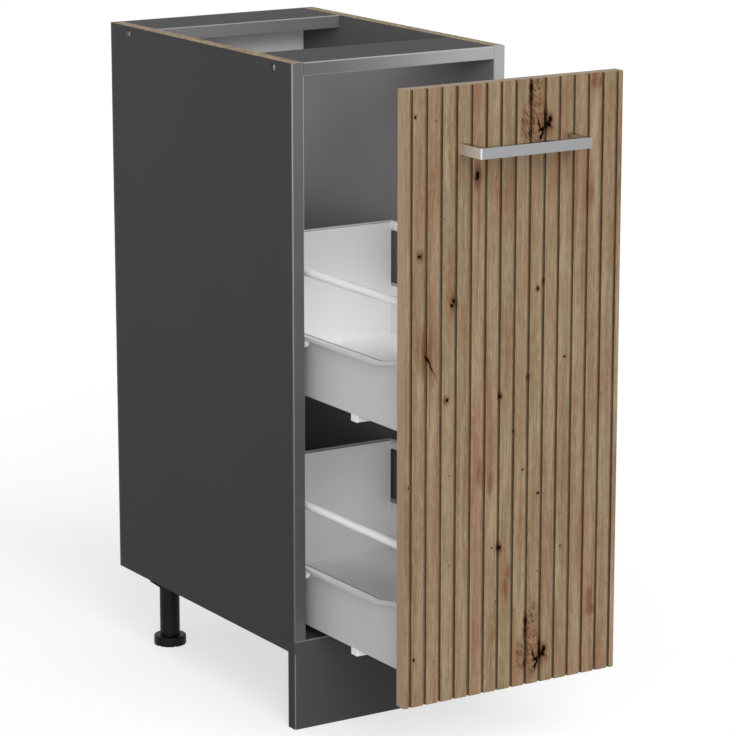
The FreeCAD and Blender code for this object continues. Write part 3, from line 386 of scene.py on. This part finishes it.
# Dark knots as X, Z, half width and half height in millimetres and tilt in degrees
KNOTS = (
    (40.6, 768.0, 2.2, 9.5, 0), (46.4, 766.6, 2.6, 4.4, -15), (45.0, 761.0, 2.1, 5.4, 48),
    (41.0, 759.8, 3.8, 5.2, 0), (37.5, 755.0, 3.2, 4.2, 0), (35.4, 749.6, 1.7, 6.2, -21),
    (31.8, 762.0, 1.4, 6.8, 19), (34.6, 755.8, 3.4, 2.0, 0), (20.6, 803.5, 2.3, 7.0, 0),
    (20.4, 791.0, 2.2, 6.5, 0), (19.8, 752.0, 2.2, 4.5, 0),
    (-52.0, 710.8, 2.8, 5.5, -10), (-135.4, 783.7, 1.5, 1.8, 0), (-128.9, 625.8, 2.4, 2.2, 0),
    (-82.4, 569.3, 2.4, 4.2, 15), (-85.4, 564.8, 1.6, 2.6, 15), (-116.0, 502.0, 1.3, 13.0, 27),
    (-91.9, 455.8, 2.2, 2.2, 0), (-18.9, 451.2, 1.8, 2.4, 0), (19.8, 468.3, 1.6, 2.6, 0),
    (32.7, 571.8, 1.5, 2.0, 20), (40.9, 578.3, 1.2, 3.0, 0), (71.6, 487.0, 1.4, 1.3, 0),
    (13.3, 359.6, 1.2, 1.2, 0), (0.5, 406.7, 1.1, 1.6, 0), (35.7, 328.5, 1.2, 1.4, 0),
    (-143.0, 359.9, 1.2, 1.2, 0), (-19.0, 899.8, 2.6, 3.4, 0), (-28.4, 901.3, 0.9, 0.9, 0),
    (68.7, 889.5, 1.3, 1.3, 0), (-21.2, 834.6, 1.4, 1.6, 0),
)
# Brown specks, stained grain, and faint warm bands, in the same units
SPECKS = (
    (-108.2, 777.3, 1.3, 1.3, 0), (-96.8, 666.1, 1.2, 1.6, 0), (-91.9, 575.4, 1.4, 1.4, 0),
    (-87.5, 366.6, 1.4, 1.4, 0), (-87.5, 889.6, 1.2, 1.2, 0), (35.7, 863.7, 1.2, 1.2, 0),
    (2.8, 820.7, 1.2, 1.4, 0), (-60.8, 832.7, 1.2, 1.6, 0), (95.9, 832.3, 1.2, 1.2, 0),
    (137.0, 831.7, 1.4, 1.2, 0), (29.8, 812.0, 1.6, 3.4, 0), (29.8, 804.0, 1.6, 3.4, 0),
    (32.0, 824.5, 1.5, 2.8, 0), (31.5, 818.8, 1.5, 2.6, 0),
)
STAINS = (
    (42.0, 760.0, 12.0, 18.0, 0), (-52.0, 709.0, 6.5, 17.0, 0), (-128.9, 625.8, 6.0, 9.0, 0),
    (-83.5, 567.5, 6.5, 13.0, 0), (-91.9, 455.8, 5.0, 7.0, 0), (-18.9, 451.2, 4.5, 7.0, 0),
    (19.8, 468.3, 4.0, 7.0, 0), (33.0, 572.0, 4.0, 6.0, 0), (-19.0, 899.8, 6.0, 10.0, 0),
    (-125.5, 517.0, 8.5, 34.0, 0), (-110.5, 512.0, 8.5, 36.0, 0), (-46.0, 364.3, 6.0, 20.0, 0),
    (-31.0, 350.0, 5.0, 16.0, 0), (-5.2, 868.0, 4.0, 10.0, 0), (-8.5, 850.0, 4.0, 14.0, 0),
    (112.0, 804.0, 9.0, 8.0, 0), (104.6, 676.4, 6.0, 16.0, 0), (110.5, 819.7, 6.0, 14.0, 0),
)
BANDS = (
    (-128.5, 700.0, 9.0, 70.0, 0), (-131.0, 590.0, 9.0, 60.0, 0), (-51.0, 800.0, 8.0, 36.0, 0),
    (-52.0, 672.0, 8.0, 46.0, 0), (-112.0, 560.0, 8.0, 46.0, 0), (-32.0, 390.0, 9.0, 90.0, 0),
    (-62.0, 350.0, 8.0, 46.0, 0), (-10.0, 680.0, 16.0, 44.0, 0), (22.0, 740.0, 9.0, 40.0, 0),
    (112.0, 829.7, 9.0, 60.0, 0), (104.0, 690.0, 9.0, 50.0, 0),
)
# Feathered figure beside the large knot. Its strokes lean away from a spine, and a stroke is
# about this long and this thick in millimetres
FEATHERS = ((28.5, 779.0, 13.0, 54.0, 0), (13.0, 764.0, 7.0, 24.0, 0))
FEATHER_SPINE = 32.0
FEATHER_SLOPE = 1.3
FEATHER_STROKE = (6.5, 2.9, 1.0)


def nearest(graph, spots, point):
    """The distance to the closest of several ovals, in units of that oval's size."""
    closest = None
    for x, z, width, height, tilt in spots:
        place = graph.tree.nodes.new("ShaderNodeMapping")
        place.vector_type = "TEXTURE"
        graph.fill(place, (point, (x, z, 0.0), (0.0, 0.0, math.radians(tilt)), (width, height, 1.0)))
        distance = graph.vector("LENGTH", place.outputs["Vector"])
        closest = distance if closest is None else graph.math("MINIMUM", closest, distance)
    return closest


def shaken(graph, point, lump, reach):
    """A place on the front moved sideways by noise, so that ovals come out ragged."""
    ragged = graph.noise((lump, lump * LUMP_STRETCH, lump), detail=3.0, point=point)
    shift = graph.math("MULTIPLY", graph.math("SUBTRACT", ragged, 0.5), reach)
    return graph.vector("ADD", point, graph.combine(shift, 0.0, 0.0))


def oak():
    """Printed oak with knots on the face, painted shade in the grooves, pale edges and a white rear."""
    graph = Graph("front_oak_finish")
    from_margin = graph.math("ADD", graph.x, FRONT_HALF - GROOVE_MARGIN)
    tint = graph.random(graph.math("FLOOR", graph.math("DIVIDE", from_margin, SLAT_PITCH)))
    wander = graph.noise((40.0, 40.0, 160.0), detail=2.0)
    sway = graph.math("MULTIPLY", graph.math("SUBTRACT", wander, 0.5), GRAIN_SWAY)
    bent = graph.combine(graph.math("ADD", graph.x, sway), graph.y, graph.z)

    streak = graph.noise((4.0, 4.0, 220.0), detail=4.0, roughness=0.66, point=bent)
    fibre = graph.noise((0.8, 0.8, 36.0), detail=3.0, roughness=0.6, point=bent)
    pore = graph.ramp(graph.noise((0.5, 0.5, 9.0), detail=2.0, point=bent), 0.58, 0.7)
    broad = graph.noise((26.0, 26.0, 420.0), detail=2.0)
    warm = graph.noise((15.0, 15.0, 130.0), detail=3.0, point=bent)

    wood = graph.mix(tint, colour(140, 113, 89), colour(126, 112, 86))
    wood = graph.mix(graph.ramp(broad, 0.35, 0.65, 0.0, 0.7), wood, colour(140, 123, 99))
    wood = graph.mix(graph.ramp(warm, 0.5, 0.68, 0.0, 0.72), wood, colour(130, 90, 61))
    wood = graph.mix(graph.ramp(warm, 0.5, 0.32, 0.0, 0.6), wood, colour(152, 134, 104))
    wood = graph.mix(graph.ramp(streak, 0.44, 0.66, 0.0, 0.75), wood, colour(110, 86, 60))
    wood = graph.mix(graph.ramp(fibre, 0.5, 0.72, 0.0, 0.5), wood, colour(100, 78, 54))
    wood = graph.mix(graph.math("MULTIPLY", pore, 0.4), wood, colour(80, 60, 40))
    fleck = graph.noise((1.8, 1.8, 12.0), detail=3.0, roughness=0.6, point=bent)
    wood = graph.mix(graph.ramp(fleck, 0.5, 0.68, 0.0, 0.34), wood, colour(104, 80, 55))
    wood = graph.mix(graph.ramp(fleck, 0.48, 0.32, 0.0, 0.3), wood, colour(166, 146, 116))

    again = graph.math("LESS_THAN", graph.z, REPEAT_BELOW)
    repeated = graph.math("ADD", graph.z, graph.math("MULTIPLY", again, REPEAT))
    place = shaken(graph, graph.combine(graph.x, repeated, 0.0), lump=5.0, reach=6.0)
    grained = graph.ramp(streak, 0.3, 0.66, 0.35, 1.0)
    band = graph.ramp(nearest(graph, BANDS, place), 1.2, 0.2, 0.0, 0.55)
    wood = graph.mix(graph.math("MULTIPLY", band, grained), wood, colour(116, 80, 54))
    stain = graph.ramp(nearest(graph, STAINS, place), 1.3, 0.45, 0.0, 0.92)
    wood = graph.mix(graph.math("MULTIPLY", stain, grained), wood, colour(98, 62, 34))

    rise = nearest(graph, FEATHERS, place)
    wood = graph.mix(graph.ramp(rise, 1.3, 0.4, 0.0, 0.5), wood, colour(134, 96, 64))
    aside = graph.math("ABSOLUTE", graph.math("SUBTRACT", graph.x, FEATHER_SPINE))
    lean = graph.math("SUBTRACT", repeated, graph.math("MULTIPLY", aside, FEATHER_SLOPE))
    barb = graph.noise(FEATHER_STROKE, detail=3.0, roughness=0.6, point=graph.combine(aside, lean, 0.0))
    stroke = graph.math("MULTIPLY", graph.ramp(barb, 0.45, 0.56), graph.ramp(rise, 1.2, 0.5, 0.0, 0.88))
    wood = graph.mix(stroke, wood, colour(62, 36, 20))

    close = shaken(graph, place, lump=3.0, reach=2.5)
    speck = graph.ramp(nearest(graph, SPECKS, close), 1.2, 0.4, 0.0, 0.8)
    wood = graph.mix(speck, wood, colour(72, 42, 22))
    knot = nearest(graph, KNOTS, close)
    wood = graph.mix(graph.ramp(knot, 2.5, 0.9, 0.0, 0.75), wood, colour(84, 52, 30))
    core = graph.ramp(knot, 1.25, 0.65)
    wood = graph.mix(core, wood, colour(12, 7, 5))

    pale = graph.mix(graph.spread(fibre), colour(190, 164, 132), colour(168, 144, 114))
    low = graph.ramp(graph.z, *(FRONT_TOP * share for share in EDGE_FADE), 0.0, 0.5)
    pale = graph.mix(low, pale, colour(150, 128, 102))
    pale = graph.mix(graph.facing(Z), pale, colour(140, 124, 104))
    flank = graph.math("ABSOLUTE", graph.normal[X])
    sideways = graph.math("MAXIMUM", flank, graph.math("ABSOLUTE", graph.normal[Z]))
    on_face = graph.math("LESS_THAN", graph.y, FRONT_FACE + GROOVE_REACH)
    inside = graph.math("LESS_THAN", graph.math("ABSOLUTE", graph.x), FRONT_HALF - FRONT_RIM)
    below = graph.math("LESS_THAN", graph.z, FRONT_TOP - FRONT_RIM)
    in_groove = graph.math("MULTIPLY", on_face, graph.math("MULTIPLY", inside, below))
    edge = graph.math("MULTIPLY", graph.ramp(sideways, 0.7, 0.95), graph.math("SUBTRACT", 1.0, in_groove))
    wood = graph.mix(edge, wood, pale)
    # Painted shade in the grooves, darker deeper in
    depth = graph.ramp(graph.y, *(FRONT_FACE + reach for reach in GROOVE_DARK), 0.0, GROOVE_PAINTED_SHADE)
    wood = graph.mix(graph.math("MULTIPLY", depth, in_groove), wood, colour(46, 33, 20))

    pearl = graph.noise((0.6, 0.6, 0.6), detail=3.0)
    lining = graph.mix(graph.spread(pearl), grey(244), grey(252))
    wood = graph.mix(graph.facing(Y), wood, lining)

    relief = graph.math("SUBTRACT", fibre, graph.math("MULTIPLY", pore, 0.6))
    return graph.finish(
        wood,
        Roughness=graph.spread(fibre, 0.5, 0.64),
        Normal=graph.bump(relief, 0.05),
        **{"Specular IOR Level": graph.ramp(core, 0.0, 1.0, 0.25, 0.0)},
    )


# Metal and plastic
WALL_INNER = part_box("upper_drawer_back")[1].x / MM
# How far outside that the painted shadow line along the inner edge of a drawer's rim starts to end, and has
# ended
RIM_SHADOW_LINE = (2.0, 3.2)
# Grey levels that orange peel is darker by
PEEL_SHADE = 12
# How much lighter the lumps of a moulded skin are, and how its roughness spreads
SKIN_LIGHT = 1.12
SKIN_ROUGHNESS = (-0.05, 0.07)
# How much less rough the polished faces of the handle are
POLISH = 0.24


def powder_coat(name, low, high, rim=False):
    """Powder coated steel with a faint orange peel, and painted shade that makes the lower drawer's parts
    darker than the upper's. On drawer sides, a painted highlight on the rim's top with a painted shadow
    line along its inner edge, and painted light on the walls' inner faces.
    """
    graph = Graph(name)
    peel = graph.noise((1.1, 1.1, 1.1), detail=2.0)
    # Painted shade: darker on the lower drawer than on the upper
    tone = graph.mix(graph.ramp(graph.z, LOWER_TOP, UPPER_FLOOR), grey(low), grey(high))
    base = graph.mix(graph.spread(peel, 0.0, 0.2), tone, grey(low - PEEL_SHADE))
    if rim:
        # Painted highlight on the rim's top, with a painted shadow line along its inner edge
        aside = graph.math("ABSOLUTE", graph.x)
        on_rim = graph.math("GREATER_THAN", aside, WALL_INNER)
        rim_highlight = graph.ramp(aside, *(WALL_INNER + reach for reach in RIM_SHADOW_LINE))
        edge = graph.mix(rim_highlight, grey(136), grey(255))
        base = graph.mix(graph.math("MULTIPLY", graph.facing(Z), on_rim), base, edge)
        # Painted light: the walls' inner faces are lighter
        base = graph.mix(graph.facing_middle(WALL_INNER), base, grey(244))
    return graph.finish(
        base,
        Roughness=graph.rough(peel, 0.3, 0.4),
        Normal=graph.bump(peel, 0.02),
    )


def moulded(name, base, rough, shine=0.5):
    """Moulded plastic with a fine spark-eroded skin."""
    graph = Graph(name)
    skin = graph.noise((0.35, 0.35, 0.35), detail=3.0, roughness=0.6)
    lighter = tuple(min(1.0, part * SKIN_LIGHT) for part in base[:3])
    shade = graph.mix(graph.spread(skin), base, (*lighter, 1.0))
    return graph.finish(
        shade,
        Roughness=graph.rough(skin, *(rough + change for change in SKIN_ROUGHNESS)),
        Normal=graph.bump(skin, 0.02),
        **{"Specular IOR Level": shine},
    )


def brushed_metal():
    """The handle's metal, brushed along its length, with painted reflection: lighter tones on its sides and
    on the right leg's inward face, and a darker one on top, than on its front.
    """
    graph = Graph("handle_metal_finish")
    brush = graph.noise((60.0, 0.25, 0.25), detail=3.0, roughness=0.65)
    front = graph.mix(graph.spread(brush), colour(146, 148, 150), colour(156, 157, 158))
    # Painted reflection: the one metal is lighter on its sides and on the right leg's inward face, and
    # darker on top, than on its front
    sides_painted_light = graph.mix(graph.spread(brush), grey(246), grey(254))
    top = graph.facing(Z)
    sides_painted_light = graph.mix(top, sides_painted_light, grey(150))
    on_right = graph.math("GREATER_THAN", graph.x, 0.0)
    to_wood = graph.math("MULTIPLY", graph.facing(X, -1), on_right)
    sides_painted_light = graph.mix(to_wood, sides_painted_light, grey(222))
    polished = graph.math("MAXIMUM", top, to_wood)
    rough = graph.rough(brush, 0.44, 0.54)
    return graph.finish(
        graph.mix(graph.ramp(graph.normal[Y], -0.5, -0.95), sides_painted_light, front),
        Metallic=1.0,
        Roughness=graph.math("SUBTRACT", rough, graph.math("MULTIPLY", polished, POLISH)),
        Normal=graph.bump(brush, 0.008),
    )


def zinc():
    """Zinc plated steel, a little blotched."""
    graph = Graph("screw_steel_finish")
    blotch = graph.noise((1.4, 1.4, 1.4), detail=3.0)
    base = graph.mix(graph.spread(blotch), colour(200, 201, 204), colour(222, 223, 224))
    return graph.finish(
        base,
        Metallic=1.0,
        Roughness=graph.rough(blotch, 0.24, 0.4),
        Normal=graph.bump(blotch, 0.01),
    )


def beech():
    """Beech with its grain along X."""
    graph = Graph("dowel_wood_finish")
    fibre = graph.noise((12.0, 0.5, 0.5), detail=3.0)
    base = graph.mix(graph.spread(fibre), colour(196, 158, 116), colour(172, 132, 92))
    return graph.finish(base, Roughness=0.65, Normal=graph.bump(fibre, 0.03))


def clear_pad():
    """Clear soft plastic with a slight haze."""
    graph = Graph("bumper_clear_finish")
    haze = graph.noise((0.8, 0.8, 0.8), detail=2.0)
    base = graph.mix(graph.spread(haze), grey(222), grey(236))
    return graph.finish(
        base,
        Roughness=graph.rough(haze, 0.2, 0.34),
        **{"Transmission Weight": 0.6, "IOR": 1.45},
    )


FINISHES = {
    "melamine_anthracite": melamine(),
    "edge_anthracite": edge_band(),
    "back_grey": back_sheet(),
    "front_oak": oak(),
    "white_board": white_board(),
    "drawer_steel": powder_coat("drawer_steel_finish", 196, 209, rim=True),
    "runner_steel": powder_coat("runner_steel_finish", 222, 226),
    "gallery_white": powder_coat("gallery_white_finish", 250, 254),
    "white_plastic": moulded("white_plastic_finish", grey(242), 0.4),
    "roller_nylon": moulded("roller_nylon_finish", grey(242), 0.34),
    "handle_metal": brushed_metal(),
    "leg_plastic": moulded("leg_plastic_finish", grey(11), 0.46, 0.15),
    "screw_steel": zinc(),
    "dowel_wood": beech(),
    "bumper_clear": clear_pad(),
}
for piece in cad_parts.values():
    for slot in piece.material_slots:
        slot.material = FINISHES[slot.material.name]


# Rounded edges, made by modifiers on the nodes, with radii in millimetres
ROUNDING_STEPS = 3
SAME_POINT = 1e-6
SHARP = math.radians(32)
FLAT = math.radians(0.5)
EDGE_RADII = {
    "melamine_anthracite_finish": 0.35,
    "back_grey_finish": 0.25,
    "front_oak_finish": 0.45,
    "white_board_finish": 0.5,
    "drawer_steel_finish": 0.3,
    "runner_steel_finish": 0.3,
    "gallery_white_finish": 0.25,
    "white_plastic_finish": 0.5,
    "roller_nylon_finish": 0.3,
    "handle_metal_finish": 0.8,
    "leg_plastic_finish": 0.8,
    "screw_steel_finish": 0.15,
    "bumper_clear_finish": 0.5,
}


def joined_mesh_group():
    """Joins the corners that the frame keeps apart, and keeps hard edges hard."""
    group = bpy.data.node_groups.new("joined_mesh", "GeometryNodeTree")
    group.interface.new_socket("Geometry", in_out="INPUT", socket_type="NodeSocketGeometry")
    group.interface.new_socket("Geometry", in_out="OUTPUT", socket_type="NodeSocketGeometry")
    start = group.nodes.new("NodeGroupInput")
    merge = group.nodes.new("GeometryNodeMergeByDistance")
    merge.inputs["Distance"].default_value = SAME_POINT
    angle = group.nodes.new("GeometryNodeInputMeshEdgeAngle")
    sharp = group.nodes.new("FunctionNodeCompare")
    sharp.operation = "GREATER_THAN"
    sharp.inputs[1].default_value = SHARP
    shade = group.nodes.new("GeometryNodeSetMeshNormal")
    shade.mode = "SHARPNESS"
    end = group.nodes.new("NodeGroupOutput")
    group.links.new(start.outputs[0], merge.inputs["Geometry"])
    group.links.new(merge.outputs["Geometry"], shade.inputs["Mesh"])
    group.links.new(angle.outputs["Unsigned Angle"], sharp.inputs[0])
    group.links.new(sharp.outputs[0], shade.inputs["Edge Sharpness"])
    group.links.new(shade.outputs["Mesh"], end.inputs[0])
    return group


JOINED_MESH = joined_mesh_group()


def soften(piece, radius):
    """Rounds a node's hard edges without changing its mesh."""
    join = piece.modifiers.new("join", "NODES")
    join.node_group = JOINED_MESH
    flatten = piece.modifiers.new("flatten", "DECIMATE")
    flatten.decimate_type = "DISSOLVE"
    flatten.angle_limit = FLAT
    rounding = piece.modifiers.new("rounding", "BEVEL")
    rounding.width = radius * MM
    rounding.segments = ROUNDING_STEPS
    rounding.limit_method = "ANGLE"
    rounding.angle_limit = SHARP
    rounding.harden_normals = True


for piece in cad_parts.values():
    radius = EDGE_RADII.get(piece.material_slots[0].material.name)
    if radius:
        soften(piece, radius)


# Stage
def shown_ray(tree):
    """One for the rays that show the stage to the camera, in reflections or through clear pieces."""
    rays = tree.nodes.new("ShaderNodeLightPath")
    shown = rays.outputs["Is Camera Ray"]
    for kind in ("Is Glossy Ray", "Is Transmission Ray"):
        either = tree.nodes.new("ShaderNodeMath")
        either.operation = "MAXIMUM"
        tree.links.new(shown, either.inputs[0])
        tree.links.new(rays.outputs[kind], either.inputs[1])
        shown = either.outputs[0]
    return shown


def floor():
    """A plain floor that is white to the camera and keeps the shadow."""
    half = FLOOR_SIZE / 2
    mesh = bpy.data.meshes.new("floor")
    corners = [(-half, -half, 0), (half, -half, 0), (half, half, 0), (-half, half, 0)]
    mesh.from_pydata(corners, [], [(0, 1, 2, 3)])
    plane = bpy.data.objects.new("floor", mesh)
    SCENE.collection.objects.link(plane)
    material = bpy.data.materials.new("floor_white")
    material.use_nodes = True
    tree = material.node_tree
    tree.nodes.clear()
    shown = shown_ray(tree)
    tone = tree.nodes.new("ShaderNodeMapRange")
    tone.inputs["To Min"].default_value = FLOOR_BOUNCE
    tone.inputs["To Max"].default_value = FLOOR_WHITE
    paper = tree.nodes.new("ShaderNodeBsdfDiffuse")
    glow = tree.nodes.new("ShaderNodeMapRange")
    glow.inputs["To Max"].default_value = FLOOR_LIFT
    lift = tree.nodes.new("ShaderNodeEmission")
    total = tree.nodes.new("ShaderNodeAddShader")
    out = tree.nodes.new("ShaderNodeOutputMaterial")
    tree.links.new(shown, tone.inputs["Value"])
    tree.links.new(tone.outputs[0], paper.inputs["Color"])
    tree.links.new(shown, glow.inputs["Value"])
    tree.links.new(glow.outputs[0], lift.inputs["Strength"])
    tree.links.new(paper.outputs[0], total.inputs[0])
    tree.links.new(lift.outputs[0], total.inputs[1])
    tree.links.new(total.outputs[0], out.inputs["Surface"])
    mesh.materials.append(material)


def sky():
    """Plain light from all sides, shown as white to the camera and in reflections."""
    world = bpy.data.worlds.new("studio")
    world.use_nodes = True
    tree = world.node_tree
    background = tree.nodes["Background"]
    level = tree.nodes.new("ShaderNodeMapRange")
    level.inputs["To Min"].default_value = SKY_LIGHT
    level.inputs["To Max"].default_value = SKY_SHOWN
    tree.links.new(shown_ray(tree), level.inputs["Value"])
    tree.links.new(level.outputs[0], background.inputs["Strength"])
    background.inputs["Color"].default_value = (1.0, 1.0, 1.0, 1.0)
    SCENE.world = world


def suns():
    """Large soft lamps in front of the part, one of them to its left."""
    for name, sun in SUNS.items():
        lamp = bpy.data.lights.new(name, "SUN")
        lamp.energy = sun["strength"]
        lamp.angle = math.radians(sun["angle"])
        holder = bpy.data.objects.new(name, lamp)
        holder.rotation_euler = Vector(sun["towards"]).to_track_quat("Z", "Y").to_euler()
        SCENE.collection.objects.link(holder)


def camera():
    """The photograph's view."""
    lens = bpy.data.cameras.new("camera")
    lens.sensor_width = SENSOR
    lens.lens = FOCAL_PIXELS / IMAGE_PIXELS * SENSOR
    holder = bpy.data.objects.new("camera", lens)
    holder.location = CAMERA_PLACE
    holder.rotation_euler = (math.pi / 2 - CAMERA_PITCH, 0.0, -CAMERA_YAW)
    SCENE.collection.objects.link(holder)
    SCENE.camera = holder


floor()
sky()
suns()
camera()
SCENE.view_settings.view_transform = "Standard"
